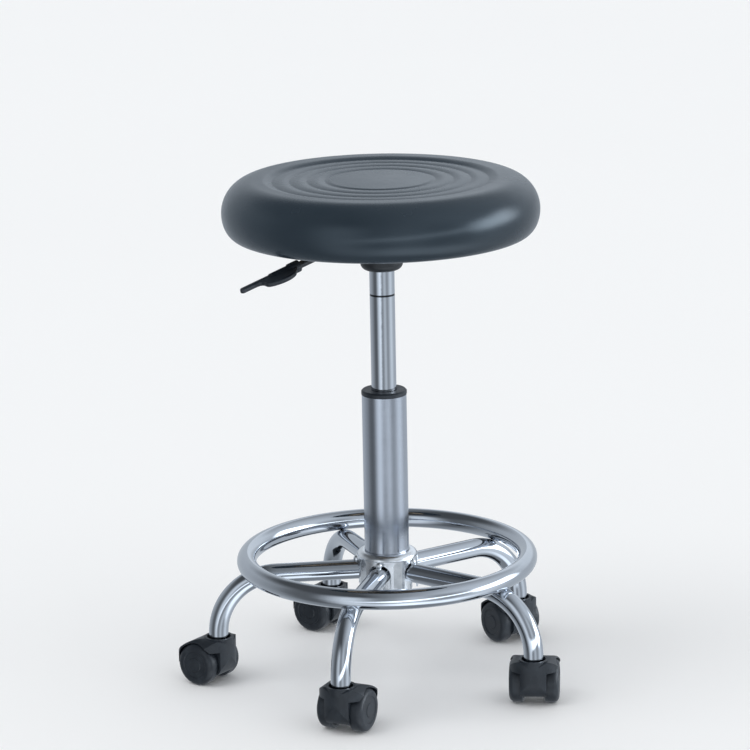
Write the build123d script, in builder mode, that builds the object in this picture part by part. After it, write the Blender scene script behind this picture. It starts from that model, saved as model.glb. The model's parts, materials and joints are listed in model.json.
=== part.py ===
from build123d import *
import os
from math import atan2, cos, degrees, radians, sin, sqrt, tan

# A height-adjustable stool on castors, in millimetres.
# Origin on the floor at the column's axis, +Z up, leg 1 pointing along -Y.

# ---- Fits shared by the whole stool ----
running_gap = 0.05
weld_gap = 0.05

# ---- Base: legs, foot ring and hub ----
leg_count = 5
first_leg_angle = -90.0
leg_angles = [first_leg_angle + 360 / leg_count * turn for turn in range(leg_count)]
tube_radius = 11.0
tube_wall = 1.5
stem_circle_radius = 191.6
leg_bend_radius = 68.0
leg_root_radius = 20.0
leg_root_height = 128.5
leg_corner_height = 124.0
leg_end_height = 52.0
foot_ring_radius = 157.7
weld_bead_radius = 6.0

hub_outer_radius = 34.5
hub_wall = 2.0
hub_bottom = 108.0
hub_top = 151.0
hub_mouth_radius = 25.8
hub_shoulder_radius = 7.0
arch_radius = 13.0
sleeve_outer_radius = 28.0
sleeve_bottom = 106.0

# ---- Column and guide bush ----
column_radius = 25.0
column_wall = 1.5
column_bottom = 100.0
column_top = 331.0
taper_top = 149.0
taper_angle = 1.43
column_lower_bore = 21.8
end_plate_thickness = 4.0
bush_bottom = 262.0
bush_flange_top = 336.0
bush_flange_radius = 25.4

# ---- Gas spring ----
cylinder_radius = 14.0
cylinder_bore = 12.5
cylinder_bottom = 258.0
cylinder_top = 496.0
cylinder_taper_start = 474.0
cylinder_top_radius = 13.45
mark_height = 444.3
rod_radius = 5.0
rod_end_radius = 4.0
rod_bottom = 94.0
rod_shoulder = 112.0
piston_bottom = 281.0
piston_top = 293.0
pin_radius = 3.0

# ---- Seat mechanism and release lever ----
socket_radius = 23.7
socket_bottom = 472.0
socket_edge_radius = 8.2
plate_bottom = 517.5
plate_thickness = 2.5
plate_width = 150.0
screw_spacing = 120.0
screw_radius = 3.0
lever_angle = -124.0
lever_height = 507.0
lever_radius = 4.0
lever_bend_distance = 60.0
lever_drop_angle = 12.5
lever_reach = 150.0
pivot_distance = 40.0
pivot_radius = 2.5
eye_radius = 5.5
eye_half_width = 7.5
ear_thickness = 3.0
lever_play = 0.3
handle_start = 118.0
handle_length = 78.0
handle_collar_radius = 6.75
handle_width = 25.0
handle_thickness = 5.5

# ---- Seat ----
seat_radius = 175.0
seat_bottom = 513.0
seat_widest = 539.0
seat_top = 575.0
board_radius = 150.0
board_thickness = 12.0
recess_radius = 112.0
disc_radius = 52.0
disc_height = 573.5
ridge_valley = 572.0
ridge_crest = 573.6
ridge_start = 61.0
ridge_pitch = 19.3
ridge_count = 3

# ---- Castors ----
castor_yaws = [80.9, 100.0, 139.5, 160.5, 160.6]
wheel_radius = 24.0
wheel_width = 16.0
wheel_inner_face = 11.5
castor_trail = 15.0
web_half_width = 11.0
hood_half_width = 28.0
hood_radius = 27.5
hood_height = 29.5
hood_front = 16.0
hood_floor_gap = 12.0
well_radius = wheel_radius + 0.8
dish_floor = 49.0
collar_top = 54.0
collar_radius = 16.5
dish_radius = 13.5
axle_radius = 3.0
axle_half_length = 25.0
stem_radius = 5.5
stem_bottom = 30.0
stem_top = 70.0

board_bottom = plate_bottom + plate_thickness
board_top = board_bottom + board_thickness
end_plate_top = column_bottom + end_plate_thickness
lever_underside = lever_height - lever_radius
sleeve_top = hub_top - hub_wall

os.makedirs("parts", exist_ok=True)


def write(piece, label):
    """Labels a finished piece and writes it as its own STEP file."""
    piece.label = label
    export_step(piece, f"parts/{label}.step")


def turned(*corners):
    """A solid turned about Z from the (radius, height) corners of its half section."""
    with BuildPart() as solid:
        with BuildSketch(Plane.XZ):
            with BuildLine():
                Polyline(*corners, close=True)
            make_face()
        revolve(axis=Axis.Z)
    return solid.part


def outward(angle):
    """The level direction at this angle about the column."""
    return Vector(cos(radians(angle)), sin(radians(angle)), 0)


def facing_plane(angle, distance=0.0):
    """An upright plane facing outward: its x runs sideways and its y is height."""
    return Plane(
        origin=outward(angle) * distance,
        x_dir=outward(angle + 90),
        z_dir=outward(angle),
    )


def section_plane(angle):
    """The upright plane through the column: its x is distance out and its y is height."""
    return Plane(origin=(0, 0, 0), x_dir=outward(angle), z_dir=outward(angle - 90))


def column_outside(height):
    """The column's outer radius, which narrows slowly below the hub's top."""
    return column_radius - max(0.0, taper_top - height) * tan(radians(taper_angle))


# ---------------------------------------------------------------- legs and foot ring

leg_slope = atan2(leg_root_height - leg_corner_height, stem_circle_radius - leg_root_radius)
bend_tangent = leg_bend_radius * tan((radians(90) - leg_slope) / 2)
bend_centre_radius = stem_circle_radius - leg_bend_radius
bend_centre_height = leg_corner_height - bend_tangent

# The ring's tube rests on the outside of each leg's bend.
ring_step = foot_ring_radius - bend_centre_radius
ring_to_bend = leg_bend_radius + 2 * tube_radius + weld_gap
foot_ring_height = bend_centre_height + sqrt(ring_to_bend**2 - ring_step**2)

leg_corners = [
    (leg_root_radius, leg_root_height),
    (stem_circle_radius, leg_corner_height),
    (stem_circle_radius, leg_end_height),
]

with BuildPart() as leg_envelope:
    with BuildLine(Plane.XZ) as leg_path:
        FilletPolyline(*leg_corners, radius=leg_bend_radius)
    with BuildSketch(Plane(origin=leg_path.line @ 0, z_dir=leg_path.line % 0)):
        Circle(tube_radius)
    sweep()

with BuildPart() as leg_tube:
    with BuildLine(Plane.XZ) as bore_path:
        FilletPolyline(*leg_corners, radius=leg_bend_radius)
    with BuildSketch(Plane(origin=bore_path.line @ 0, z_dir=bore_path.line % 0)):
        Circle(tube_radius)
        Circle(tube_radius - tube_wall, mode=Mode.SUBTRACT)
    sweep()
    # The root is cut to the round of the hub's sleeve, where it is welded.
    with BuildSketch(Plane.XY.offset(sleeve_bottom)):
        Circle(sleeve_outer_radius)
    extrude(amount=sleeve_top - sleeve_bottom, mode=Mode.SUBTRACT)

for number, angle in enumerate(leg_angles, start=1):
    write(leg_tube.part.rotate(Axis.Z, angle), f"leg_{number}")

# A weld bead fills the crossing where the ring sits on a leg.
bead_direction = Vector(ring_step, 0, foot_ring_height - bend_centre_height).normalized()
bead_centre = Vector(foot_ring_radius, 0, foot_ring_height) - bead_direction * tube_radius
bead_below = 3.0
bead_above = 4.0
with BuildPart() as ring_bore:
    with BuildSketch(Plane.XZ):
        with Locations((foot_ring_radius, foot_ring_height)):
            Circle(tube_radius - tube_wall)
    revolve(axis=Axis.Z)

with BuildPart() as weld_bead:
    with BuildSketch(Plane(origin=bead_centre - bead_direction * bead_below, z_dir=bead_direction)):
        Circle(weld_bead_radius)
    extrude(amount=bead_below + bead_above)
    add(leg_envelope.part, mode=Mode.SUBTRACT)
    add(ring_bore.part, mode=Mode.SUBTRACT)

with BuildPart() as foot_ring:
    with BuildSketch(Plane.XZ):
        with Locations((foot_ring_radius, foot_ring_height)):
            Circle(tube_radius)
            Circle(tube_radius - tube_wall, mode=Mode.SUBTRACT)
    revolve(axis=Axis.Z)
    for angle in leg_angles:
        add(weld_bead.part.rotate(Axis.Z, angle))
write(foot_ring.part, "foot_ring")

# ---------------------------------------------------------------- hub

shoulder_height = hub_top - hub_shoulder_radius
shoulder_radius = hub_outer_radius - hub_shoulder_radius
hub_inner_radius = hub_outer_radius - hub_wall
panel_radius = 5.0
panel_depth = 0.5
panel_height = 138.5
panel_length = 24.0
cut_past = 1.0
arch_length = 40.0
with BuildPart() as hub_cup:
    with BuildSketch(Plane.XZ):
        with BuildLine():
            Polyline(
                (hub_inner_radius, shoulder_height),
                (hub_inner_radius, hub_bottom),
                (hub_outer_radius, hub_bottom),
                (hub_outer_radius, shoulder_height),
            )
            CenterArc((shoulder_radius, shoulder_height), hub_shoulder_radius, 0, 90)
            Polyline(
                (shoulder_radius, hub_top),
                (hub_mouth_radius, hub_top),
                (hub_mouth_radius, hub_top - hub_wall),
                (shoulder_radius, hub_top - hub_wall),
            )
            CenterArc((shoulder_radius, shoulder_height), hub_shoulder_radius - hub_wall, 0, 90)
        make_face()
    revolve(axis=Axis.Z)
    for angle in leg_angles:
        # An upside-down U lets each leg through the skirt.
        with BuildSketch(facing_plane(angle)):
            with Locations((0, leg_root_height)):
                Circle(arch_radius)
                Rectangle(2 * arch_radius, arch_length, align=(Align.CENTER, Align.MAX))
        extrude(amount=hub_outer_radius + cut_past, mode=Mode.SUBTRACT)
        # The pillar between two legs carries a shallow round-topped panel.
        with BuildSketch(facing_plane(angle + 180 / leg_count, hub_outer_radius - panel_depth)):
            with Locations((0, panel_height)):
                Circle(panel_radius)
                Rectangle(2 * panel_radius, panel_length, align=(Align.CENTER, Align.MAX))
        extrude(amount=panel_depth + cut_past, mode=Mode.SUBTRACT)
write(hub_cup.part, "hub_cup")

# A weld bead bridges the top of each arch and the leg below it.
bead_radius = 4.0
bead_sink = 0.5
bead_drop = 1.0
with BuildPart() as hub_bead:
    with Locations(
        (hub_outer_radius - bead_sink, 0, leg_root_height + arch_radius - bead_drop)
    ):
        Sphere(bead_radius)
    add(hub_cup.part.rotate(Axis.Z, -first_leg_angle), mode=Mode.SUBTRACT)
    add(leg_envelope.part, mode=Mode.SUBTRACT)
with BuildPart() as hub_welds:
    for angle in leg_angles:
        add(hub_bead.part.solids().sort_by(SortBy.VOLUME)[-1].rotate(Axis.Z, angle))
write(hub_welds.part, "hub_welds")

hub_sleeve = turned(
    (column_outside(sleeve_bottom), sleeve_bottom),
    (sleeve_outer_radius, sleeve_bottom),
    (sleeve_outer_radius, sleeve_top),
    (column_outside(sleeve_top), sleeve_top),
)
write(hub_sleeve, "hub_sleeve")

# ---------------------------------------------------------------- column and bush

column_bore = column_radius - column_wall
column_chamfer = 0.5
bore_step_half = 6.0
column_tube = turned(
    (column_lower_bore, column_bottom),
    (column_outside(column_bottom), column_bottom),
    (column_radius, taper_top),
    (column_radius, column_top - column_chamfer),
    (column_radius - column_chamfer, column_top),
    (column_bore, column_top),
    (column_bore, taper_top + bore_step_half),
    (column_lower_bore, taper_top - bore_step_half),
)
write(column_tube, "column_tube")

plate_hole = rod_end_radius + 0.3
column_end_plate = turned(
    (plate_hole, column_bottom),
    (column_lower_bore, column_bottom),
    (column_lower_bore, end_plate_top),
    (plate_hole, end_plate_top),
)
write(column_end_plate, "column_end_plate")

# The bush bears on the column in two bands, with a relieved waist between them.
bush_bore = cylinder_radius + running_gap
bush_waist = 20.0
band_height = 18.0
waist_slope = 2.0
flange_chamfer = 1.5
bore_chamfer = 1.0
guide_bush = turned(
    (bush_bore, bush_bottom),
    (column_bore, bush_bottom),
    (column_bore, bush_bottom + band_height),
    (bush_waist, bush_bottom + band_height + waist_slope),
    (bush_waist, column_top - band_height - waist_slope),
    (column_bore, column_top - band_height),
    (column_bore, column_top),
    (bush_flange_radius, column_top),
    (bush_flange_radius, bush_flange_top - flange_chamfer),
    (bush_flange_radius - flange_chamfer, bush_flange_top),
    (bush_bore + bore_chamfer, bush_flange_top),
    (bush_bore, bush_flange_top - bore_chamfer),
)
write(guide_bush, "guide_bush")

# ---------------------------------------------------------------- thrust bearing

washer_radius = 12.0
washer_thickness = 2.0
lower_washer_top = end_plate_top + washer_thickness
upper_washer_bottom = rod_shoulder - washer_thickness
bearing_lower_washer = turned(
    (plate_hole, end_plate_top),
    (washer_radius, end_plate_top),
    (washer_radius, lower_washer_top),
    (plate_hole, lower_washer_top),
)
write(bearing_lower_washer, "bearing_lower_washer")

bearing_upper_washer = turned(
    (rod_end_radius, upper_washer_bottom),
    (washer_radius, upper_washer_bottom),
    (washer_radius, rod_shoulder),
    (rod_end_radius, rod_shoulder),
)
write(bearing_upper_washer, "bearing_upper_washer")

ball_count = 9
ball_circle_radius = 8.2
ball_radius = (upper_washer_bottom - lower_washer_top) / 2 - running_gap
ball_height = (upper_washer_bottom + lower_washer_top) / 2
cage_thickness = 1.6
cage_rim = 0.8
cage_bore_gap = 0.5
with BuildPart() as bearing_balls:
    with BuildSketch(Plane.XY.offset(ball_height - cage_thickness / 2)):
        Circle(washer_radius - cage_rim)
        Circle(rod_end_radius + cage_bore_gap, mode=Mode.SUBTRACT)
        with PolarLocations(ball_circle_radius, ball_count):
            Circle(ball_radius + running_gap, mode=Mode.SUBTRACT)
    extrude(amount=cage_thickness)
    with Locations((0, 0, ball_height)):
        with PolarLocations(ball_circle_radius, ball_count):
            Sphere(ball_radius)
write(bearing_balls.part, "bearing_balls")

# ---------------------------------------------------------------- piston rod

piston_spigot = 4.0
clip_groove_radius = 3.0
clip_bottom = 97.4
clip_top = 99.4
rod_chamfer = 0.8
spigot_head_step = 1.5
spigot_head_height = 2.5
piston_rod = turned(
    (0, rod_bottom),
    (rod_end_radius - rod_chamfer, rod_bottom),
    (rod_end_radius, rod_bottom + rod_chamfer),
    (rod_end_radius, clip_bottom),
    (clip_groove_radius, clip_bottom),
    (clip_groove_radius, clip_top),
    (rod_end_radius, clip_top),
    (rod_end_radius, rod_shoulder),
    (rod_radius, rod_shoulder),
    (rod_radius, piston_bottom),
    (piston_spigot, piston_bottom),
    (piston_spigot, piston_top),
    (piston_spigot + spigot_head_step, piston_top),
    (piston_spigot + spigot_head_step, piston_top + spigot_head_height),
    (0, piston_top + spigot_head_height),
)
write(piston_rod, "piston_rod")

clip_radius = 8.0
clip_mouth = 4.6
clip_gap = 0.1
with BuildPart() as rod_clip:
    with BuildSketch(Plane.XY.offset(clip_bottom + clip_gap)):
        Circle(clip_radius)
        Circle(clip_groove_radius, mode=Mode.SUBTRACT)
        # The clip is open on one side, so that it can be pushed into its groove.
        Rectangle(
            clip_radius + cut_past, clip_mouth, align=(Align.MIN, Align.CENTER), mode=Mode.SUBTRACT
        )
    extrude(amount=clip_top - clip_bottom - 2 * clip_gap)
write(rod_clip.part, "rod_clip")

# The buffer is a rubber sleeve with a groove round it, where it folds when it is hit.
buffer_bore = rod_radius + 0.1
buffer_radius = 11.0
buffer_top_radius = 10.0
buffer_groove_radius = 9.5
buffer_groove_height = rod_shoulder + 7.0
buffer_groove_half = 2.0
buffer_top = rod_shoulder + 14.0
stop_buffer = turned(
    (buffer_bore, rod_shoulder),
    (buffer_radius, rod_shoulder),
    (buffer_radius, buffer_groove_height - buffer_groove_half),
    (buffer_groove_radius, buffer_groove_height),
    (buffer_radius, buffer_groove_height + buffer_groove_half),
    (buffer_top_radius, buffer_top),
    (buffer_bore, buffer_top),
)
write(stop_buffer, "stop_buffer")

piston_radius = cylinder_bore - running_gap
seal_bottom = piston_bottom + 4
seal_top = piston_bottom + 8
seal_inner_radius = 10.5
seal_lip_height = 1.0
seal_lip_depth = 0.6
seal_radius = piston_radius + 0.03
piston = turned(
    (piston_spigot, piston_bottom),
    (piston_radius, piston_bottom),
    (piston_radius, seal_bottom),
    (seal_inner_radius, seal_bottom),
    (seal_inner_radius, seal_top),
    (piston_radius, seal_top),
    (piston_radius, piston_top),
    (piston_spigot, piston_top),
)
write(piston, "piston")

piston_seal = turned(
    (seal_inner_radius, seal_bottom),
    (piston_radius - seal_lip_depth, seal_bottom),
    (seal_radius, seal_bottom + seal_lip_height),
    (seal_radius, seal_top - seal_lip_height),
    (piston_radius - seal_lip_depth, seal_top),
    (seal_inner_radius, seal_top),
)
write(piston_seal, "piston_seal")

# ---------------------------------------------------------------- gas cylinder

nose_radius = 5.0
cap_thickness = 3.0
valve_length = 30.0
valve_top = cylinder_top - cap_thickness
valve_bottom = valve_top - valve_length
mark_half_height = 0.6
mark_depth = 0.4
mouth_roll = 0.8
mouth_roll_height = 1.5
gland_recess = 0.5
gland_length = 16.5
gas_cylinder = turned(
    (cylinder_bore, cylinder_bottom),
    (cylinder_radius - mouth_roll, cylinder_bottom),
    (cylinder_radius, cylinder_bottom + mouth_roll_height),
    (cylinder_radius, mark_height - mark_half_height),
    (cylinder_radius - mark_depth, mark_height - mark_half_height),
    (cylinder_radius - mark_depth, mark_height + mark_half_height),
    (cylinder_radius, mark_height + mark_half_height),
    (cylinder_radius, cylinder_taper_start),
    (cylinder_top_radius, cylinder_top),
    (nose_radius, cylinder_top),
    (nose_radius, valve_top),
    (cylinder_bore, valve_top),
)
write(gas_cylinder, "gas_cylinder")

gland_bottom = cylinder_bottom + gland_recess
gland_top = gland_bottom + gland_length
cylinder_gland = turned(
    (rod_radius + running_gap, gland_bottom),
    (cylinder_bore, gland_bottom),
    (cylinder_bore, gland_top),
    (rod_radius + running_gap, gland_top),
)
write(cylinder_gland, "cylinder_gland")

valve_nose_top = cylinder_top + 1.0
release_valve = turned(
    (pin_radius + running_gap, valve_bottom),
    (cylinder_bore, valve_bottom),
    (cylinder_bore, valve_top),
    (nose_radius, valve_top),
    (nose_radius, valve_nose_top),
    (pin_radius + running_gap, valve_nose_top),
)
write(release_valve, "release_valve")

# The pin's domed head stands just under the lever, and its foot closes the valve.
pin_dome_centre = lever_underside - lever_play - pin_radius
pin_foot_radius = 4.5
pin_foot_height = 2.5
pin_foot_top = valve_bottom - 0.1
with BuildPart() as release_pin:
    with BuildSketch(Plane.XZ):
        with BuildLine():
            Polyline(
                (pin_radius, pin_dome_centre),
                (pin_radius, pin_foot_top),
                (pin_foot_radius, pin_foot_top),
                (pin_foot_radius, pin_foot_top - pin_foot_height),
                (0, pin_foot_top - pin_foot_height),
                (0, pin_dome_centre + pin_radius),
            )
            CenterArc((0, pin_dome_centre), pin_radius, 0, 90)
        make_face()
    revolve(axis=Axis.Z)
write(release_pin.part, "release_pin")

# ---------------------------------------------------------------- seat mechanism

socket_floor_radius = socket_radius - socket_edge_radius
socket_chamber_radius = 17.0
socket_chamber_bottom = cylinder_top + 1.5
slot_half_width = 6.0
slot_bottom = 498.0
with BuildPart() as seat_socket:
    with BuildSketch(Plane.XZ):
        with BuildLine():
            Polyline(
                (socket_floor_radius, socket_bottom),
                (cylinder_radius, socket_bottom),
                (cylinder_radius, cylinder_taper_start),
                (cylinder_top_radius, cylinder_top),
                (cylinder_top_radius, socket_chamber_bottom),
                (socket_chamber_radius, socket_chamber_bottom),
                (socket_chamber_radius, plate_bottom),
                (socket_radius, plate_bottom),
                (socket_radius, socket_bottom + socket_edge_radius),
            )
            CenterArc(
                (socket_floor_radius, socket_bottom + socket_edge_radius),
                socket_edge_radius,
                -90,
                90,
            )
        make_face()
    revolve(axis=Axis.Z)
    # The lever's inner end reaches the release pin through a slot in the wall.
    with BuildSketch(facing_plane(lever_angle)):
        with Locations((0, slot_bottom)):
            Rectangle(
                2 * slot_half_width,
                plate_bottom - slot_bottom,
                align=(Align.CENTER, Align.MIN),
            )
    extrude(amount=socket_radius + cut_past, mode=Mode.SUBTRACT)
write(seat_socket.part, "seat_socket")

ear_inner_face = 8.0
ear_bottom = lever_height - 7.0
plate_corner = 14.0
ear_half_length = 6.0
screw_clearance = 0.3
with BuildPart() as mechanism_plate:
    with BuildSketch(Plane.XY.offset(plate_bottom)):
        RectangleRounded(plate_width, plate_width, plate_corner, rotation=lever_angle)
        with Locations(Rotation(0, 0, lever_angle)):
            with GridLocations(screw_spacing, screw_spacing, 2, 2):
                Circle(screw_radius + screw_clearance, mode=Mode.SUBTRACT)
    extrude(amount=plate_thickness)
    # Two ears hang from the plate and carry the lever's pivot pin.
    with BuildSketch(facing_plane(lever_angle, pivot_distance - ear_half_length)):
        for side in (-1, 1):
            with Locations((side * (ear_inner_face + ear_thickness / 2), ear_bottom)):
                Rectangle(
                    ear_thickness,
                    plate_bottom - ear_bottom,
                    align=(Align.CENTER, Align.MIN),
                )
    extrude(amount=2 * ear_half_length)
    with BuildSketch(section_plane(lever_angle)):
        with Locations((pivot_distance, lever_height)):
            Circle(pivot_radius)
    extrude(amount=2 * ear_inner_face, both=True, mode=Mode.SUBTRACT)
write(mechanism_plate.part, "mechanism_plate")

pin_head_inner = ear_inner_face + ear_thickness
pin_head_thickness = 1.5
pin_head_step = 1.5
with BuildPart() as lever_pivot_pin:
    with BuildSketch(section_plane(lever_angle)):
        with Locations((pivot_distance, lever_height)):
            Circle(pivot_radius + pin_head_step)
    extrude(amount=pin_head_inner + pin_head_thickness, both=True)
    with BuildSketch(section_plane(lever_angle)):
        with Locations((pivot_distance, lever_height)):
            Circle(pivot_radius + pin_head_step + cut_past)
            Circle(pivot_radius, mode=Mode.SUBTRACT)
    extrude(amount=pin_head_inner, both=True, mode=Mode.SUBTRACT)
write(lever_pivot_pin.part, "lever_pivot_pin")

# ---------------------------------------------------------------- release lever

lever_bend_radius = 40.0
lever_drop = (lever_reach - lever_bend_distance) * tan(radians(lever_drop_angle))
with BuildPart() as lever_rod:
    with BuildLine(section_plane(lever_angle)) as lever_path:
        FilletPolyline(
            (-lever_radius, lever_height),
            (lever_bend_distance, lever_height),
            (lever_reach, lever_height - lever_drop),
            radius=lever_bend_radius,
        )
    with BuildSketch(Plane(origin=lever_path.line @ 0, z_dir=lever_path.line % 0)):
        Circle(lever_radius)
    sweep()
    with BuildSketch(section_plane(lever_angle)):
        with Locations((pivot_distance, lever_height)):
            Circle(eye_radius)
    extrude(amount=eye_half_width, both=True)
    with BuildSketch(section_plane(lever_angle)):
        with Locations((pivot_distance, lever_height)):
            Circle(pivot_radius + running_gap)
    extrude(amount=eye_half_width, both=True, mode=Mode.SUBTRACT)
write(lever_rod.part, "lever_rod")

# The handle lies along the sloping part of the rod: x along it, y sideways.
handle_height = lever_height - (handle_start - lever_bend_distance) * tan(radians(lever_drop_angle))
slope = radians(lever_drop_angle)
along_lever = outward(lever_angle) * cos(slope) - Vector(0, 0, 1) * sin(slope)
above_lever = outward(lever_angle) * sin(slope) + Vector(0, 0, 1) * cos(slope)
handle_origin = outward(lever_angle) * handle_start + Vector(0, 0, handle_height)
handle_plane = Plane(origin=handle_origin, x_dir=along_lever, z_dir=above_lever)
handle_across = Plane(origin=handle_origin, x_dir=outward(lever_angle + 90), z_dir=along_lever)

collar_length = 12.0
far_edge = -handle_collar_radius
near_edge = far_edge + handle_width
tail_width = 6.5
tail_start = 60.0
shoulder_start = 15.0
shoulder_step = 3.0
paddle_start = 20.0
paddle_end = 44.0
rod_boss_radius = 5.6
rod_boss_length = 38.0
handle_round = 1.8
with BuildPart() as lever_handle:
    with BuildSketch(handle_plane.offset(-handle_thickness / 2)):
        with BuildLine():
            Polyline(
                (handle_length - tail_width / 2, far_edge),
                (collar_length / 2, far_edge),
                (collar_length / 2, -far_edge),
                (shoulder_start, near_edge - shoulder_step),
            )
            Spline(
                (shoulder_start, near_edge - shoulder_step),
                (paddle_start, near_edge),
                (paddle_end, near_edge),
                (53, near_edge - 8),
                (tail_start, far_edge + tail_width),
                tangents=[(1, 1), (1, 0)],
            )
            Line(
                (tail_start, far_edge + tail_width),
                (handle_length - tail_width / 2, far_edge + tail_width),
            )
            CenterArc(
                (handle_length - tail_width / 2, far_edge + tail_width / 2),
                tail_width / 2,
                -90,
                180,
            )
        make_face()
    extrude(amount=handle_thickness)
    paddle_faces = lever_handle.faces().sort_by(Axis(handle_origin, above_lever))
    fillet(paddle_faces[0].edges() + paddle_faces[-1].edges(), handle_round)
    with BuildSketch(handle_across):
        Circle(handle_collar_radius)
    extrude(amount=collar_length)
    with BuildSketch(handle_across):
        Circle(rod_boss_radius)
    extrude(amount=rod_boss_length)
    add(lever_rod.part, mode=Mode.SUBTRACT)
write(lever_handle.part, "lever_handle")

# ---------------------------------------------------------------- seat

nut_barrel_radius = 5.0
nut_flange_radius = 9.0
nut_flange_thickness = 1.5
screw_head_radius = 5.5
screw_head_height = 4.2
screw_key_radius = 2.5
screw_key_depth = 2.5
screw_end_gap = 1.0
nut_seat = 3.0
with BuildPart() as seat_screws:
    with Locations(Rotation(0, 0, lever_angle)):
        with GridLocations(screw_spacing, screw_spacing, 2, 2):
            with Locations((0, 0, plate_bottom - screw_head_height)):
                Cylinder(
                    screw_head_radius,
                    screw_head_height,
                    align=(Align.CENTER, Align.CENTER, Align.MIN),
                )
            with Locations((0, 0, plate_bottom)):
                Cylinder(
                    screw_radius,
                    board_top - screw_end_gap - plate_bottom,
                    align=(Align.CENTER, Align.CENTER, Align.MIN),
                )
    with BuildSketch(Plane.XY.offset(plate_bottom - screw_head_height)):
        with Locations(Rotation(0, 0, lever_angle)):
            with GridLocations(screw_spacing, screw_spacing, 2, 2):
                RegularPolygon(screw_key_radius, 6)
    extrude(amount=screw_key_depth, mode=Mode.SUBTRACT)
write(seat_screws.part, "seat_screws")

with BuildPart() as t_nuts:
    with BuildSketch(Plane.XY.offset(board_bottom + nut_seat)):
        with Locations(Rotation(0, 0, lever_angle)):
            with GridLocations(screw_spacing, screw_spacing, 2, 2):
                Circle(nut_barrel_radius)
                Circle(screw_radius, mode=Mode.SUBTRACT)
    extrude(amount=board_thickness - nut_seat)
    with BuildSketch(Plane.XY.offset(board_top)):
        with Locations(Rotation(0, 0, lever_angle)):
            with GridLocations(screw_spacing, screw_spacing, 2, 2):
                Circle(nut_flange_radius)
                Circle(screw_radius, mode=Mode.SUBTRACT)
    extrude(amount=nut_flange_thickness)
write(t_nuts.part, "t_nuts")

with BuildPart() as seat_board:
    with BuildSketch(Plane.XY.offset(board_bottom)):
        Circle(board_radius)
        with Locations(Rotation(0, 0, lever_angle)):
            with GridLocations(screw_spacing, screw_spacing, 2, 2):
                Circle(nut_barrel_radius, mode=Mode.SUBTRACT)
    extrude(amount=board_thickness)
write(seat_board.part, "seat_board")

# The moulded seat wraps round the board's edge; its top is ringed with low ridges.
foot_radius = 159.0
crown_radius = 141.0
lower_round = (seat_radius - foot_radius, seat_widest - seat_bottom)
upper_round = (seat_radius - crown_radius, seat_top - seat_widest)
rim_radius = 132.0
ridge_end = ridge_start + ridge_count * ridge_pitch
with BuildPart() as seat_cushion:
    with BuildSketch(Plane.XZ):
        with BuildLine():
            Polyline(
                (foot_radius, seat_bottom),
                (recess_radius, seat_bottom),
                (recess_radius, board_bottom),
                (board_radius, board_bottom),
                (board_radius, board_top),
                (0, board_top),
                (0, disc_height),
                (disc_radius, disc_height),
            )
            ThreePointArc(
                (disc_radius, disc_height),
                (disc_radius + 6, disc_height - 0.4),
                (ridge_start, ridge_valley),
            )
            for ridge in range(ridge_count):
                foot = ridge_start + ridge * ridge_pitch
                ThreePointArc(
                    (foot, ridge_valley),
                    (foot + ridge_pitch / 2, ridge_crest),
                    (foot + ridge_pitch, ridge_valley),
                )
            ThreePointArc(
                (ridge_end, ridge_valley),
                (ridge_end + 5.5, seat_top - 0.9),
                (rim_radius, seat_top),
            )
            Line((rim_radius, seat_top), (crown_radius, seat_top))
            EllipticalCenterArc(
                (crown_radius, seat_widest),
                upper_round[0],
                upper_round[1],
                start_angle=0,
                arc_size=90,
            )
            EllipticalCenterArc(
                (foot_radius, seat_widest),
                lower_round[0],
                lower_round[1],
                start_angle=270,
                arc_size=90,
            )
        make_face()
    revolve(axis=Axis.Z)
    # Pockets clear the T-nut flanges on top of the board.
    with BuildSketch(Plane.XY.offset(board_top)):
        with Locations(Rotation(0, 0, lever_angle)):
            with GridLocations(screw_spacing, screw_spacing, 2, 2):
                Circle(nut_flange_radius)
    extrude(amount=nut_flange_thickness, mode=Mode.SUBTRACT)
write(seat_cushion.part, "seat_cushion")

# ---------------------------------------------------------------- castor fittings

socket_flange = 1.5
socket_grip = 5.5
socket_nose_radius = 7.2
socket_roof = 3.0
leg_bore = tube_radius - tube_wall
leg_socket = turned(
    (stem_radius, leg_end_height - socket_flange),
    (tube_radius, leg_end_height - socket_flange),
    (tube_radius, leg_end_height),
    (leg_bore, leg_end_height),
    (leg_bore, leg_end_height + socket_grip),
    (socket_nose_radius, leg_end_height + socket_grip + 1),
    (socket_nose_radius, stem_top + socket_roof),
    (0, stem_top + socket_roof),
    (0, stem_top),
    (stem_radius, stem_top),
)
with BuildPart() as leg_sockets:
    with PolarLocations(stem_circle_radius, leg_count, start_angle=first_leg_angle):
        add(leg_socket)
write(leg_sockets.part, "leg_sockets")

shoulder_bottom = dish_floor + 0.5
shoulder_top = leg_end_height - socket_flange
stem_shoulder_radius = 8.0
stem_chamfer = 1.0
ring_groove_bottom = stem_bottom + 4.0
ring_groove_top = stem_bottom + 6.0
ring_groove_radius = stem_radius - 0.8
castor_stem = turned(
    (0, stem_bottom),
    (stem_radius - stem_chamfer, stem_bottom),
    (stem_radius, stem_bottom + stem_chamfer),
    (stem_radius, ring_groove_bottom),
    (ring_groove_radius, ring_groove_bottom),
    (ring_groove_radius, ring_groove_top),
    (stem_radius, ring_groove_top),
    (stem_radius, shoulder_bottom),
    (stem_shoulder_radius, shoulder_bottom),
    (stem_shoulder_radius, shoulder_top),
    (stem_radius, shoulder_top),
    (stem_radius, stem_top),
    (0, stem_top),
)
with BuildPart() as castor_stems:
    with PolarLocations(stem_circle_radius, leg_count, start_angle=first_leg_angle):
        add(castor_stem)
write(castor_stems.part, "castor_stems")

# ---------------------------------------------------------------- castors
# Each castor is drawn about its stem: x runs backwards along the trail, y to the left.

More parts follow.
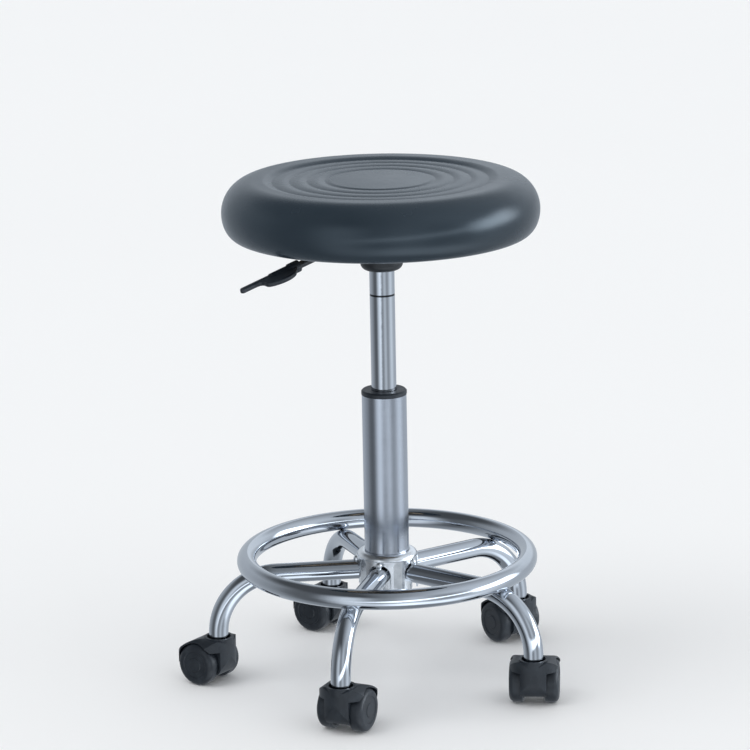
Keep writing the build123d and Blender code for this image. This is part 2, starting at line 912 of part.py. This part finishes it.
hood_rear = castor_trail + hood_radius
hood_top = wheel_radius + hood_height
hood_toe = castor_trail - 22.0
web_floor = wheel_radius - 6.5
hood_crown = 6.0
front_round = 8.0
front_chin = 34.0
chin_depth = 3.0
chin_drop = 4.0
web_floor_half = 10.0
bow_start = castor_trail - 6.0
rear_corner = 12.0
stem_end_gap = 0.5
shoulder_round = 15.0
collar_root = 8.0
apron_half_width = 14.5
brim_height = 40.0
side_clearance = 1.0
with BuildPart() as castor_hood:
    # The side view: over the wheel from behind the axle, then down the front.
    with BuildSketch(Plane.XZ):
        with BuildLine():
            EllipticalCenterArc(
                (hood_crown, wheel_radius),
                hood_rear - hood_crown,
                hood_height,
                start_angle=0,
                arc_size=90,
            )
            Line((hood_crown, hood_top), (front_round - hood_front, hood_top))
            CenterArc(
                (front_round - hood_front, hood_top - front_round), front_round, 90, 90
            )
            Line((-hood_front, hood_top - front_round), (-hood_front, front_chin))
            Spline(
                (-hood_front, front_chin),
                (chin_depth - hood_front, wheel_radius - chin_drop),
                (hood_toe, hood_floor_gap),
                tangents=[(0, -1), (1, -0.8)],
            )
            Polyline(
                (hood_toe, hood_floor_gap),
                (castor_trail - web_floor_half, web_floor),
                (castor_trail + web_floor_half, web_floor),
                (hood_rear, wheel_radius),
            )
        make_face()
    extrude(amount=hood_half_width, both=True)
    # The plan: a bowed front and rounded rear corners.
    with BuildSketch():
        with BuildLine():
            Line(
                (hood_rear, rear_corner - hood_half_width),
                (hood_rear, hood_half_width - rear_corner),
            )
            CenterArc(
                (hood_rear - rear_corner, hood_half_width - rear_corner), rear_corner, 0, 90
            )
            Line(
                (hood_rear - rear_corner, hood_half_width),
                (bow_start, hood_half_width),
            )
            EllipticalCenterArc(
                (bow_start, 0),
                bow_start + hood_front,
                hood_half_width,
                start_angle=90,
                arc_size=180,
            )
            Line(
                (bow_start, -hood_half_width),
                (hood_rear - rear_corner, -hood_half_width),
            )
            CenterArc(
                (hood_rear - rear_corner, rear_corner - hood_half_width), rear_corner, 270, 90
            )
        make_face()
    extrude(amount=hood_top, mode=Mode.INTERSECT)
    # The front view: rounded shoulders.
    with BuildSketch(Plane.YZ.offset(-hood_front)):
        with Locations((0, hood_top)):
            RectangleRounded(
                2 * hood_half_width, 2 * hood_top, shoulder_round, align=(Align.CENTER, Align.MAX)
            )
    extrude(amount=hood_front + hood_rear, mode=Mode.INTERSECT)
    # The collar that the leg's end drops into.
    with BuildSketch(Plane.XY.offset(hood_top - collar_root)):
        Circle(collar_radius)
    extrude(amount=collar_top - hood_top + collar_root)
    # Wells for the two wheels, open below and to the sides.
    for side in (-1, 1):
        with BuildSketch(Plane.XZ.offset(-side * web_half_width)):
            with Locations((castor_trail, wheel_radius)):
                Circle(well_radius)
        extrude(
            amount=-side * (hood_half_width - web_half_width + side_clearance),
            mode=Mode.SUBTRACT,
        )
    # Under the brim only the middle of the front comes down, as an apron between the wheels.
    for side in (-1, 1):
        with BuildSketch(Plane.XZ.offset(-side * apron_half_width)):
            with Locations((castor_trail, brim_height)):
                Rectangle(
                    castor_trail + hood_front + side_clearance,
                    brim_height,
                    align=(Align.MAX, Align.MAX),
                )
        extrude(
            amount=-side * (hood_half_width - apron_half_width + side_clearance),
            mode=Mode.SUBTRACT,
        )
    with BuildSketch(Plane.XY.offset(dish_floor)):
        Circle(dish_radius)
    extrude(amount=collar_top - dish_floor, mode=Mode.SUBTRACT)
    with BuildSketch(Plane.XY.offset(stem_bottom - stem_end_gap)):
        Circle(stem_radius + running_gap)
    extrude(amount=dish_floor - stem_bottom + stem_end_gap, mode=Mode.SUBTRACT)
    with BuildSketch(Plane.XZ):
        with Locations((castor_trail, wheel_radius)):
            Circle(axle_radius)
    extrude(amount=web_half_width, both=True, mode=Mode.SUBTRACT)

with BuildPart() as castor_axle:
    with BuildSketch(Plane.XZ):
        with Locations((castor_trail, wheel_radius)):
            Circle(axle_radius)
    extrude(amount=axle_half_length, both=True)
    chamfer(castor_axle.edges().filter_by(GeomType.CIRCLE), 0.6)

# A wheel is turned about its own axle: radius against distance from the castor's middle.
wheel_outer_face = wheel_inner_face + wheel_width
tread_round = 6.0
rim_thickness = 3.5
disc_thickness = 3.0
boss_radius = 7.0
cap_radius = 7.5
face_step = 0.8
face_ring_radius = 15.5
rim_chamfer = 1.5
rim_blend = 3.0
axle_end_gap = 0.3
wheel_bore = axle_radius + running_gap
disc_inside = wheel_outer_face - disc_thickness
with BuildPart() as wheel_blank:
    with BuildSketch(Plane.XZ):
        with BuildLine():
            Polyline(
                (wheel_radius, wheel_outer_face - tread_round),
                (wheel_radius, wheel_inner_face + rim_chamfer),
                (wheel_radius - rim_chamfer, wheel_inner_face),
                (wheel_radius - rim_thickness, wheel_inner_face),
                (wheel_radius - rim_thickness, disc_inside - 1),
                (wheel_radius - rim_thickness - rim_blend, disc_inside),
                (boss_radius, disc_inside),
                (boss_radius, wheel_inner_face),
                (wheel_bore, wheel_inner_face),
                (wheel_bore, axle_half_length + axle_end_gap),
                (0, axle_half_length + axle_end_gap),
                (0, wheel_outer_face),
                (cap_radius, wheel_outer_face),
                (cap_radius + face_step, wheel_outer_face - face_step),
                (face_ring_radius - face_step, wheel_outer_face - face_step),
                (face_ring_radius, wheel_outer_face),
                (wheel_radius - tread_round, wheel_outer_face),
            )
            CenterArc(
                (wheel_radius - tread_round, wheel_outer_face - tread_round), tread_round, 0, 90
            )
        make_face()
    revolve(axis=Axis.Z)

wheel_centre = Vector(castor_trail, 0, wheel_radius)
wheel_left = wheel_blank.part.rotate(Axis.X, -90).translate(wheel_centre)
wheel_right = wheel_blank.part.rotate(Axis.X, 90).translate(wheel_centre)
castor_pieces = {
    "hood": castor_hood.part,
    "axle": castor_axle.part,
    "wheel_left": wheel_left,
    "wheel_right": wheel_right,
}

for number, (leg_angle, yaw) in enumerate(zip(leg_angles, castor_yaws), start=1):
    stem_place = Location(outward(leg_angle) * stem_circle_radius, (0, 0, yaw))
    for name, piece in castor_pieces.items():
        write(piece.moved(stem_place), f"castor_{name}_{number}")

print("leg bend centre", round(bend_centre_radius, 2), round(bend_centre_height, 2))
print("foot ring height", round(foot_ring_height, 2))
print("leg slope, degrees", round(degrees(leg_slope), 3))
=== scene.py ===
import json
from math import cos, pi, radians, sin

import bmesh
import bpy
from mathutils import Matrix, Vector


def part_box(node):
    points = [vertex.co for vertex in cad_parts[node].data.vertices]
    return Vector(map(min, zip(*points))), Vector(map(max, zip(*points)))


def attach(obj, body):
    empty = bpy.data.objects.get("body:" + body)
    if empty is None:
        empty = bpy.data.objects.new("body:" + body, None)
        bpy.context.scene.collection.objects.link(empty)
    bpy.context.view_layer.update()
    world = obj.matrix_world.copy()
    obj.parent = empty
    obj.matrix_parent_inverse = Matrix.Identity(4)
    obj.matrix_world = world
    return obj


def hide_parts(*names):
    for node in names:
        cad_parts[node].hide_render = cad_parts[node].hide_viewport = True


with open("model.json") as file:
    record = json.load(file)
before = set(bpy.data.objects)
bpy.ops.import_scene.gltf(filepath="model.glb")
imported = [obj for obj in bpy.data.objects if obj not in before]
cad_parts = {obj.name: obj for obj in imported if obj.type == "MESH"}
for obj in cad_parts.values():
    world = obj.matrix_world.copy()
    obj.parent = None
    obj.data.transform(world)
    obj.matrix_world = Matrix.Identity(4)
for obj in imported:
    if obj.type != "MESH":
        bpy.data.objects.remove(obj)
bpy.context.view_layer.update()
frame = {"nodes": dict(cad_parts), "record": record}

# The looks of a stool on castors, in metres, in the frame of the CAD model.
MM = 0.001


# ---------------------------------------------------------------- node helpers


def put(tree, kind, settings=None, **inputs):
    """Adds a shader node. An input is a value, or another node's output to link."""
    node = tree.nodes.new("ShaderNode" + kind)
    for name, value in (settings or {}).items():
        setattr(node, name, value)
    for name, value in inputs.items():
        socket = node.inputs[name.replace("_", " ")]
        if isinstance(value, bpy.types.NodeSocket):
            tree.links.new(value, socket)
        else:
            socket.default_value = value
    return node


def maths(tree, operation, first, second=0.5):
    """The result of a sum on one or two values or outputs."""
    node = tree.nodes.new("ShaderNodeMath")
    node.operation = operation
    for socket, value in zip(node.inputs, (first, second)):
        if isinstance(value, bpy.types.NodeSocket):
            tree.links.new(value, socket)
        else:
            socket.default_value = value
    return node.outputs["Value"]


def place(tree):
    """The point on the piece at rest, in metres."""
    return put(tree, "TexCoord").outputs["Object"]


def stretched(tree, scale):
    """The point on the piece, with each axis scaled."""
    return put(tree, "Mapping", Vector=place(tree), Scale=scale).outputs["Vector"]


def noise(tree, size, vector=None, detail=3.0, roughness=0.5):
    """Soft noise from 0 to 1, whose features are about this size in metres."""
    vector = vector or place(tree)
    node = put(tree, "TexNoise", Vector=vector, Scale=1 / size, Detail=detail, Roughness=roughness)
    return node.outputs["Fac"]


def cells(tree, size, feature="DISTANCE_TO_EDGE", vector=None):
    """A cell pattern whose cells are about this size in metres."""
    vector = vector or place(tree)
    node = put(tree, "TexVoronoi", {"feature": feature}, Vector=vector, Scale=1 / size)
    return node.outputs["Distance"]


def spread(tree, value, low, high, start=0.3, end=0.7):
    """Takes start..end of a value to low..high, held at the ends."""
    node = put(tree, "MapRange", Value=value)
    for name, number in (("From Min", start), ("From Max", end), ("To Min", low), ("To Max", high)):
        node.inputs[name].default_value = number
    return node.outputs["Result"]


def blend_colours(tree, factor, first, second):
    """Goes from the first colour to the second as the factor goes from 0 to 1."""
    node = put(tree, "Mix", {"data_type": "RGBA"})
    tree.links.new(factor, node.inputs["Factor"])
    for socket, colour in ((node.inputs[6], first), (node.inputs[7], second)):
        if isinstance(colour, bpy.types.NodeSocket):
            tree.links.new(colour, socket)
        else:
            socket.default_value = (*colour, 1)
    return node.outputs[2]


def bump(tree, height, depth, strength=1.0, under=None):
    """A relief of this depth in metres, on top of another relief if one is given."""
    node = put(tree, "Bump", Height=height, Distance=depth, Strength=strength)
    if under is not None:
        tree.links.new(under, node.inputs["Normal"])
    return node.outputs["Normal"]


def surface(name, **values):
    """A new material and its shader, with the values that are the same all over set on it."""
    material = bpy.data.materials.new(name)
    material.use_nodes = True
    shader = material.node_tree.nodes["Principled BSDF"]
    for key, value in values.items():
        shader.inputs[key.replace("_", " ")].default_value = value
    return material, material.node_tree, shader


def join(tree, output, shader, name):
    tree.links.new(output, shader.inputs[name])


# ---------------------------------------------------------------- materials


def chrome_shader(name, painted_groove_shade=None):
    """Chrome plate with faint orange peel, haze and hairlines. A painted groove shade, a near-black
    band painted in the colour where a groove's shade falls, is a height and a width.
    """
    material, tree, shader = surface(name, Metallic=1.0)
    haze = noise(tree, 0.045, detail=4)
    hairlines = noise(tree, 0.004, stretched(tree, (1, 1, 0.06)), detail=6, roughness=0.7)
    tone = blend_colours(tree, haze, (0.51, 0.54, 0.585), (0.58, 0.61, 0.65))
    # Painted shade: the chrome's colour goes near black in a band round the groove, standing for the
    # shade in it.
    if painted_groove_shade:
        band_height, band_width = painted_groove_shade
        height = put(tree, "SeparateXYZ", Vector=place(tree)).outputs["Z"]
        off_band = maths(tree, "ABSOLUTE", maths(tree, "SUBTRACT", height, band_height))
        out_of_groove_shade = spread(tree, off_band, 0, 1, 0.4 * band_width, 0.6 * band_width)
        tone = blend_colours(tree, out_of_groove_shade, (0.045, 0.05, 0.055), tone)
    join(tree, tone, shader, "Base Color")
    dulled = spread(tree, haze, 0.035, 0.09)
    scratched = spread(tree, hairlines, 0, 0.05, 0.55, 0.75)
    join(tree, maths(tree, "ADD", dulled, scratched), shader, "Roughness")
    peel = bump(tree, noise(tree, 0.006, detail=1), 0.00003)
    join(tree, bump(tree, hairlines, 0.000004, under=peel), shader, "Normal")
    return material


def make_column_steel():
    """Chromed column tube with a satin finish, brushed round the tube."""
    material, tree, shader = surface("satin_column", Metallic=1.0)
    brushing = noise(tree, 0.009, stretched(tree, (0.5, 0.5, 36)), detail=5, roughness=0.65)
    cloud = noise(tree, 0.05, detail=2)
    tone = blend_colours(tree, brushing, (0.445, 0.475, 0.53), (0.57, 0.605, 0.66))
    join(tree, tone, shader, "Base Color")
    worn = maths(tree, "ADD", spread(tree, cloud, 0.15, 0.19), spread(tree, brushing, 0, 0.06))
    join(tree, worn, shader, "Roughness")
    join(tree, bump(tree, brushing, 0.000006), shader, "Normal")
    return material


def make_hub_metal():
    """Pressed and chromed hub, duller than the legs, uneven from the press and the welds."""
    material, tree, shader = surface("hub_plate", Metallic=1.0)
    cloud = noise(tree, 0.012, detail=5, roughness=0.6)
    grain = noise(tree, 0.0012, detail=3)
    tone = blend_colours(tree, cloud, (0.74, 0.77, 0.80), (0.97, 0.98, 1.0))
    join(tree, tone, shader, "Base Color")
    join(tree, spread(tree, cloud, 0.14, 0.28), shader, "Roughness")
    pressed = bump(tree, cloud, 0.0003)
    join(tree, bump(tree, grain, 0.00002, under=pressed), shader, "Normal")
    return material


def make_bare_steel():
    """Turned steel with fine tool marks and a thin film of oil."""
    material, tree, shader = surface("turned_steel", Metallic=1.0)
    marks = noise(tree, 0.004, stretched(tree, (1, 1, 14)), detail=4)
    tone = blend_colours(tree, marks, (0.38, 0.385, 0.39), (0.60, 0.60, 0.60))
    join(tree, tone, shader, "Base Color")
    join(tree, spread(tree, marks, 0.24, 0.42), shader, "Roughness")
    join(tree, bump(tree, marks, 0.00002), shader, "Normal")
    return material


def make_nylon():
    """Black moulded nylon with a fine spark-eroded grain and dusty, rubbed patches."""
    material, tree, shader = surface("moulded_nylon", Specular_IOR_Level=0.5)
    grain = noise(tree, 0.0006, detail=2)
    rubbed = noise(tree, 0.014, detail=5, roughness=0.65)
    worn = spread(tree, rubbed, 0, 1, 0.45, 0.8)
    tone = blend_colours(tree, worn, (0.010, 0.0145, 0.021), (0.022, 0.030, 0.040))
    join(tree, tone, shader, "Base Color")
    join(tree, spread(tree, rubbed, 0.36, 0.52), shader, "Roughness")
    flow = bump(tree, rubbed, 0.0001)
    join(tree, bump(tree, grain, 0.00003, under=flow), shader, "Normal")
    return material


def make_paint():
    """Black powder coat with its orange peel."""
    material, tree, shader = surface("powder_coat", Specular_IOR_Level=0.5)
    peel = noise(tree, 0.0012, detail=2)
    wear = noise(tree, 0.01, detail=6, roughness=0.7)
    worn = spread(tree, wear, 0, 1, 0.5, 0.85)
    tone = blend_colours(tree, worn, (0.010, 0.013, 0.017), (0.024, 0.029, 0.034))
    join(tree, tone, shader, "Base Color")
    join(tree, spread(tree, wear, 0.34, 0.50), shader, "Roughness")
    join(tree, bump(tree, peel, 0.00005), shader, "Normal")
    return material


def make_rubber():
    """Matt black rubber with bloom."""
    material, tree, shader = surface("buffer_rubber", Specular_IOR_Level=0.3)
    bloom = noise(tree, 0.003, detail=4)
    tone = blend_colours(tree, bloom, (0.018, 0.018, 0.019), (0.045, 0.045, 0.046))
    join(tree, tone, shader, "Base Color")
    join(tree, spread(tree, bloom, 0.62, 0.80), shader, "Roughness")
    join(tree, bump(tree, noise(tree, 0.0008), 0.00004), shader, "Normal")
    return material


def make_plated(name, low, high, size):
    """A plated or machined metal between two tones, mottled at this size in metres."""
    material, tree, shader = surface(name, Metallic=1.0)
    mottle = noise(tree, size, detail=4)
    join(tree, blend_colours(tree, mottle, low, high), shader, "Base Color")
    join(tree, spread(tree, mottle, 0.24, 0.40), shader, "Roughness")
    join(tree, bump(tree, noise(tree, size / 4), 0.00002), shader, "Normal")
    return material


def make_plywood():
    """Old, greyed plywood: long grain on the faces, and the edges of its plies round the side."""
    material, tree, shader = surface("plywood_board", Specular_IOR_Level=0.35)
    grain = noise(tree, 0.004, stretched(tree, (0.08, 1.4, 0.4)), detail=6, roughness=0.65)
    pores = noise(tree, 0.0012, stretched(tree, (0.06, 1, 1)), detail=3)
    height = put(tree, "SeparateXYZ", Vector=place(tree)).outputs["Z"]
    ply_thickness = 1.7 * MM
    ply = maths(tree, "FRACT", maths(tree, "DIVIDE", height, 2 * ply_thickness))
    dark_ply = maths(tree, "GREATER_THAN", ply, 0.5)
    facing = put(tree, "SeparateXYZ", Vector=put(tree, "NewGeometry").outputs["Normal"]).outputs["Z"]
    on_side = maths(tree, "LESS_THAN", maths(tree, "ABSOLUTE", facing), 0.5)
    face = blend_colours(tree, grain, (0.25, 0.19, 0.13), (0.40, 0.32, 0.23))
    edge = blend_colours(tree, dark_ply, (0.40, 0.32, 0.23), (0.20, 0.14, 0.10))
    join(tree, blend_colours(tree, on_side, face, edge), shader, "Base Color")
    join(tree, spread(tree, grain, 0.55, 0.72), shader, "Roughness")
    join(tree, bump(tree, pores, 0.00006), shader, "Normal")
    return material


def make_seat_skin():
    """The seat's moulded polyurethane skin: slate black, a fine pebble and a soft sheen."""
    material, tree, shader = surface(
        "moulded_skin",
        Specular_IOR_Level=0.5,
        Sheen_Weight=0.05,
        Sheen_Roughness=0.4,
        Sheen_Tint=(0.55, 0.72, 0.95, 1),
        Specular_Tint=(0.80, 0.92, 1.0, 1),
    )
    cloud = noise(tree, 0.05, detail=4)
    pebble = cells(tree, 0.0011, "F1")
    pores = noise(tree, 0.0004, detail=2)
    tone = blend_colours(tree, cloud, (0.016, 0.025, 0.035), (0.022, 0.033, 0.045))
    join(tree, tone, shader, "Base Color")
    join(tree, spread(tree, cloud, 0.23, 0.28), shader, "Roughness")
    soft = bump(tree, cloud, 0.0004)
    grained = bump(tree, pebble, 0.00004, 0.7, under=soft)
    join(tree, bump(tree, pores, 0.00002, 0.6, under=grained), shader, "Normal")
    return material


MATERIALS = {
    "chrome": chrome_shader("chrome_plate"),
    "column_steel": make_column_steel(),
    "hub_metal": make_hub_metal(),
    "bare_steel": make_bare_steel(),
    "black_nylon": make_nylon(),
    "black_paint": make_paint(),
    "rubber": make_rubber(),
    "brass": make_plated("valve_brass", (0.55, 0.39, 0.16), (0.76, 0.59, 0.30), 0.004),
    "aluminium": make_plated("gland_aluminium", (0.66, 0.67, 0.68), (0.80, 0.81, 0.82), 0.003),
    "zinc": make_plated("zinc_plate", (0.50, 0.51, 0.48), (0.72, 0.72, 0.66), 0.002),
    "plywood": make_plywood(),
    "seat_skin": make_seat_skin(),
}


def dress(piece, material):
    piece.data.materials.clear()
    piece.data.materials.append(material)


for part in frame["record"]["subparts"]:
    dress(frame["nodes"][part["node"]], MATERIALS[part["material_slot"]])

# The lift's chromed cylinder has one shallow groove round it, whose shade is painted as a dark band:
# its height and width.
GROOVE_SHADE_BAND = (444.3 * MM, 2.2 * MM)
dress(frame["nodes"]["gas_cylinder"], chrome_shader("cylinder_chrome", painted_groove_shade=GROOVE_SHADE_BAND))


# ---------------------------------------------------------------- seat cushion


def arc_points(centre, radii, start, end, count):
    """Points on a rounded corner in the (radius, height) half section, start excluded."""
    turns = [radians(start + (end - start) * step / count) for step in range(1, count + 1)]
    return [(centre[0] + radii[0] * cos(t), centre[1] + radii[1] * sin(t)) for t in turns]


def build_cushion():
    """The moulded seat as one closed turned skin, with the disc and rings on its top."""
    low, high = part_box("seat_cushion")
    board_low, board_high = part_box("seat_board")
    seat_radius = high.x
    board_radius = board_high.x
    bottom = low.z
    rim_height = high.z
    recess_radius = 112 * MM
    recess_edge = 1.2 * MM
    nut_room = 1.8 * MM

    def top_height(radius):
        """The height of the ringed top at this distance from the middle."""
        disc_radius = 55 * MM
        disc_middle = rim_height - 0.9 * MM
        disc_edge = rim_height - 1.8 * MM
        ring_pitch = 19.3 * MM
        ring_count = 3
        first_valley = 61 * MM
        last_valley = first_valley + ring_count * ring_pitch
        valley = rim_height - 2.9 * MM
        crest = rim_height - 1.7 * MM
        roundness = 0.8
        rise_to_rim = 11.5 * MM
        if radius < disc_radius:
            return disc_middle + (disc_edge - disc_middle) * (radius / disc_radius) ** 2
        if radius < first_valley:
            share = (radius - disc_radius) / (first_valley - disc_radius)
            return valley + (disc_edge - valley) * (1 + cos(pi * share)) / 2
        if radius < last_valley:
            phase = (radius - first_valley) / ring_pitch * pi
            return valley + (crest - valley) * abs(sin(phase)) ** roundness
        share = min(1.0, (radius - last_valley) / rise_to_rim)
        return valley + (rim_height - valley) * sin(share * pi / 2)

    widest = 539 * MM
    crown_radius = 141 * MM
    upper = (seat_radius - crown_radius, rim_height - widest)
    lower_reach = 16 * MM
    lower = (lower_reach, widest - bottom)
    lower_steps = 14
    upper_steps = 22
    section = [(0, board_high.z + nut_room), (board_radius, board_high.z + nut_room)]
    section += [(board_radius, board_low.z), (recess_radius, board_low.z)]
    section += [(recess_radius, bottom + recess_edge), (recess_radius + recess_edge, bottom)]
    section += [(seat_radius - lower_reach, bottom)]
    section += arc_points((seat_radius - lower_reach, widest), lower, 270, 360, lower_steps)
    section += arc_points((crown_radius, widest), upper, 0, 90, upper_steps)
    step = 0.8 * MM
    radius = crown_radius - step
    while radius > 0.5 * step:
        section.append((radius, top_height(radius)))
        radius -= step
    section.append((0, top_height(0)))

    turns = 240
    grid = bmesh.new()
    rings = []
    for distance, height in section:
        if distance == 0:
            rings.append([grid.verts.new((0, 0, height))])
            continue
        ring = []
        for turn in range(turns):
            angle = 2 * pi * turn / turns
            ring.append(grid.verts.new((distance * cos(angle), distance * sin(angle), height)))
        rings.append(ring)
    for inner, outer in zip(rings, rings[1:]):
        for turn in range(turns):
            after = (turn + 1) % turns
            if len(inner) == 1:
                corners = (inner[0], outer[after], outer[turn])
            elif len(outer) == 1:
                corners = (inner[turn], inner[after], outer[0])
            else:
                corners = (inner[turn], inner[after], outer[after], outer[turn])
            grid.faces.new(corners)
    bmesh.ops.recalc_face_normals(grid, faces=grid.faces)
    mesh = bpy.data.meshes.new("seat_skin")
    grid.to_mesh(mesh)
    grid.free()
    mesh.shade_smooth()
    cushion = bpy.data.objects.new("seat_skin", mesh)
    bpy.context.scene.collection.objects.link(cushion)
    dress(cushion, MATERIALS["seat_skin"])
    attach(cushion, "seat")
    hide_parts("seat_cushion")


build_cushion()


# ---------------------------------------------------------------- floor, light and camera


def make_floor():
    """A pale floor, which the chrome doesn't mirror."""
    material, tree, shader = surface("pale_floor", Roughness=0.7, Specular_IOR_Level=0.1)
    cloud = noise(tree, 1.5, detail=2)
    tone = blend_colours(tree, cloud, (0.90, 0.905, 0.91), (0.92, 0.925, 0.93))
    join(tree, tone, shader, "Base Color")
    half = 40.0
    corners = [(-half, -half, 0), (half, -half, 0), (half, half, 0), (-half, half, 0)]
    mesh = bpy.data.meshes.new("floor")
    mesh.from_pydata(corners, [], [(0, 1, 2, 3)])
    floor = bpy.data.objects.new("floor", mesh)
    bpy.context.scene.collection.objects.link(floor)
    dress(floor, material)
    floor.visible_glossy = False


def make_sun(name, toward, strength, width):
    """A broad distant lamp that shines from this direction. Gloss doesn't show it."""
    data = bpy.data.lights.new(name, "SUN")
    data.energy = strength
    data.angle = radians(width)
    lamp = bpy.data.objects.new(name, data)
    lamp.rotation_euler = Vector(toward).to_track_quat("Z", "Y").to_euler()
    lamp.visible_glossy = False
    bpy.context.scene.collection.objects.link(lamp)


# The camera stands this many degrees round from the front, to the right. Turns in the mirrored
# room are in degrees round from the camera, positive to the right as the camera sees it.
VIEW_TURN = 15.9

# What the chrome and the seat's gloss mirror: the walls near eye level, as brightness at a turn.
# These began as brightness readings across the gas cylinder in the photograph, turned into
# directions and then sharpened, so the chrome's likeness to that photograph is built in.
WALL_TONES = (
    (-180, 0.64),
    (-125, 0.56),
    (-92, 0.34),
    (-70, 0.17),
    (-52, 0.34),
    (-30, 1.05),
    (-13, 0.52),
    (0, 0.40),
    (21, 0.78),
    (42, 0.46),
    (60, 0.66),
    (82, 1.02),
    (106, 0.72),
    (125, 0.64),
    (180, 0.64),
)

# The walls give way to the ceiling and to the ground between these heights, in degrees. The ceiling
# goes from one tone to the other along the span, from left to right of a unit sphere.
CEILING_RISE = (20, 48)
CEILING_TONES = (0.10, 0.85)
CEILING_SPAN = (-0.25, 0.65)
GROUND_RISE = (-40, -72)
GROUND_TONE = 0.34

# Soft lamps in the mirrored room, in degrees: turn and height of the middle, slant of the lamp's
# length as a rise per turn, half width and half height. The last number is the brightness.
SOFT_LAMPS = (
    (92, 12, 0.19, 30, 18, 5.5),
    (30, 0, 0.19, 66, 7, 2.1),
    (30, -46, 0, 62, 20, 1.3),
    (180, 20, 0, 80, 17, 0.30),
)


def soft_step(tree, value, start, end):
    """Goes smoothly from 0 at the start to 1 at the end."""
    node = put(tree, "MapRange", {"interpolation_type": "SMOOTHSTEP"}, Value=value)
    for name, number in (("From Min", start), ("From Max", end)):
        node.inputs[name].default_value = number
    return node.outputs["Result"]


def mirrored_room(tree):
    """The brightness of the mirrored room in the direction that a ray looks."""
    direction = put(tree, "TexCoord").outputs["Generated"]
    spin = {"rotation_type": "Z_AXIS"}
    turned_room = put(tree, "VectorRotate", spin, Vector=direction, Angle=radians(-VIEW_TURN))
    axes = put(tree, "SeparateXYZ", Vector=turned_room.outputs["Vector"])
    turn = maths(tree, "ARCTAN2", axes.outputs["X"], maths(tree, "MULTIPLY", axes.outputs["Y"], -1.0))
    rise = maths(tree, "ARCSINE", axes.outputs["Z"])

    walls = put(tree, "ValToRGB", Fac=maths(tree, "ADD", maths(tree, "DIVIDE", turn, 2 * pi), 0.5))
    ramp = walls.color_ramp
    ramp.interpolation = "CARDINAL"
    while len(ramp.elements) < len(WALL_TONES):
        ramp.elements.new(0.5)
    for stop, (angle, tone) in zip(ramp.elements, WALL_TONES):
        stop.position = angle / 360 + 0.5
        stop.color = (tone, tone, tone, 1)

    ceiling = spread(tree, axes.outputs["X"], *CEILING_TONES, *CEILING_SPAN)
    upward = soft_step(tree, rise, *map(radians, CEILING_RISE))
    downward = soft_step(tree, rise, *map(radians, GROUND_RISE))
    tone = maths(tree, "MULTIPLY", walls.outputs["Color"], maths(tree, "SUBTRACT", 1.0, upward))
    tone = maths(tree, "ADD", tone, maths(tree, "MULTIPLY", ceiling, upward))
    tone = maths(tree, "MULTIPLY", tone, maths(tree, "SUBTRACT", 1.0, downward))
    tone = maths(tree, "ADD", tone, maths(tree, "MULTIPLY", downward, GROUND_TONE))
    for turned, height, slant, half_width, half_height, brightness in SOFT_LAMPS:
        past = maths(tree, "SUBTRACT", turn, radians(turned))
        aside = maths(tree, "ABSOLUTE", past)
        middle = maths(tree, "ADD", maths(tree, "MULTIPLY", past, slant), radians(height))
        above = maths(tree, "ABSOLUTE", maths(tree, "SUBTRACT", rise, middle))
        across = soft_step(tree, aside, radians(half_width), radians(half_width / 3))
        upright = soft_step(tree, above, radians(half_height), radians(half_height / 3))
        glow = maths(tree, "MULTIPLY", maths(tree, "MULTIPLY", across, upright), brightness)
        tone = maths(tree, "ADD", tone, glow)
    return tone


def make_world():
    """An even white room for the light. Gloss sees another room instead, of light and dark walls."""
    world = bpy.data.worlds.new("studio")
    world.use_nodes = True
    bpy.context.scene.world = world
    tree = world.node_tree
    even = tree.nodes["Background"]
    even.inputs["Color"].default_value = (0.97, 0.985, 1.0, 1)
    even.inputs["Strength"].default_value = 0.84
    room = put(tree, "Background", Color=(0.88, 0.955, 1.04, 1), Strength=mirrored_room(tree))
    glossy = put(tree, "LightPath").outputs["Is Glossy Ray"]
    mixed = put(tree, "MixShader", Fac=glossy)
    tree.links.new(even.outputs["Background"], mixed.inputs[1])
    tree.links.new(room.outputs["Background"], mixed.inputs[2])
    tree.links.new(mixed.outputs["Shader"], tree.nodes["World Output"].inputs["Surface"])


def make_camera():
    """A long lens from the front right, which looks down on the seat."""
    turn = radians(VIEW_TURN)
    distance = 3.7487
    height = 1.291
    pitch = radians(14.06)
    yaw = radians(-0.148)
    roll = radians(-1.1)
    heading = turn - yaw
    forward = Vector((-sin(heading) * cos(pitch), cos(heading) * cos(pitch), -sin(pitch)))
    level_right = Vector((cos(heading), sin(heading), 0))
    level_up = level_right.cross(forward)
    right = cos(roll) * level_right + sin(roll) * level_up
    up = cos(roll) * level_up - sin(roll) * level_right
    data = bpy.data.cameras.new("camera")
    data.sensor_width = 36
    data.lens = 167.18
    data.clip_end = 100
    camera = bpy.data.objects.new("camera", data)
    place_at = Vector((distance * sin(turn), -distance * cos(turn), height))
    axes = Matrix((right, up, -forward)).transposed().to_4x4()
    camera.matrix_world = Matrix.Translation(place_at) @ axes
    bpy.context.scene.collection.objects.link(camera)
    bpy.context.scene.camera = camera


make_floor()
make_world()
make_sun("key", (-0.6, -0.5, 1.1), 0.55, 35)
make_sun("side", (1.0, -0.3, 0.9), 0.25, 45)
make_camera()
bpy.context.scene.view_settings.view_transform = "Standard"
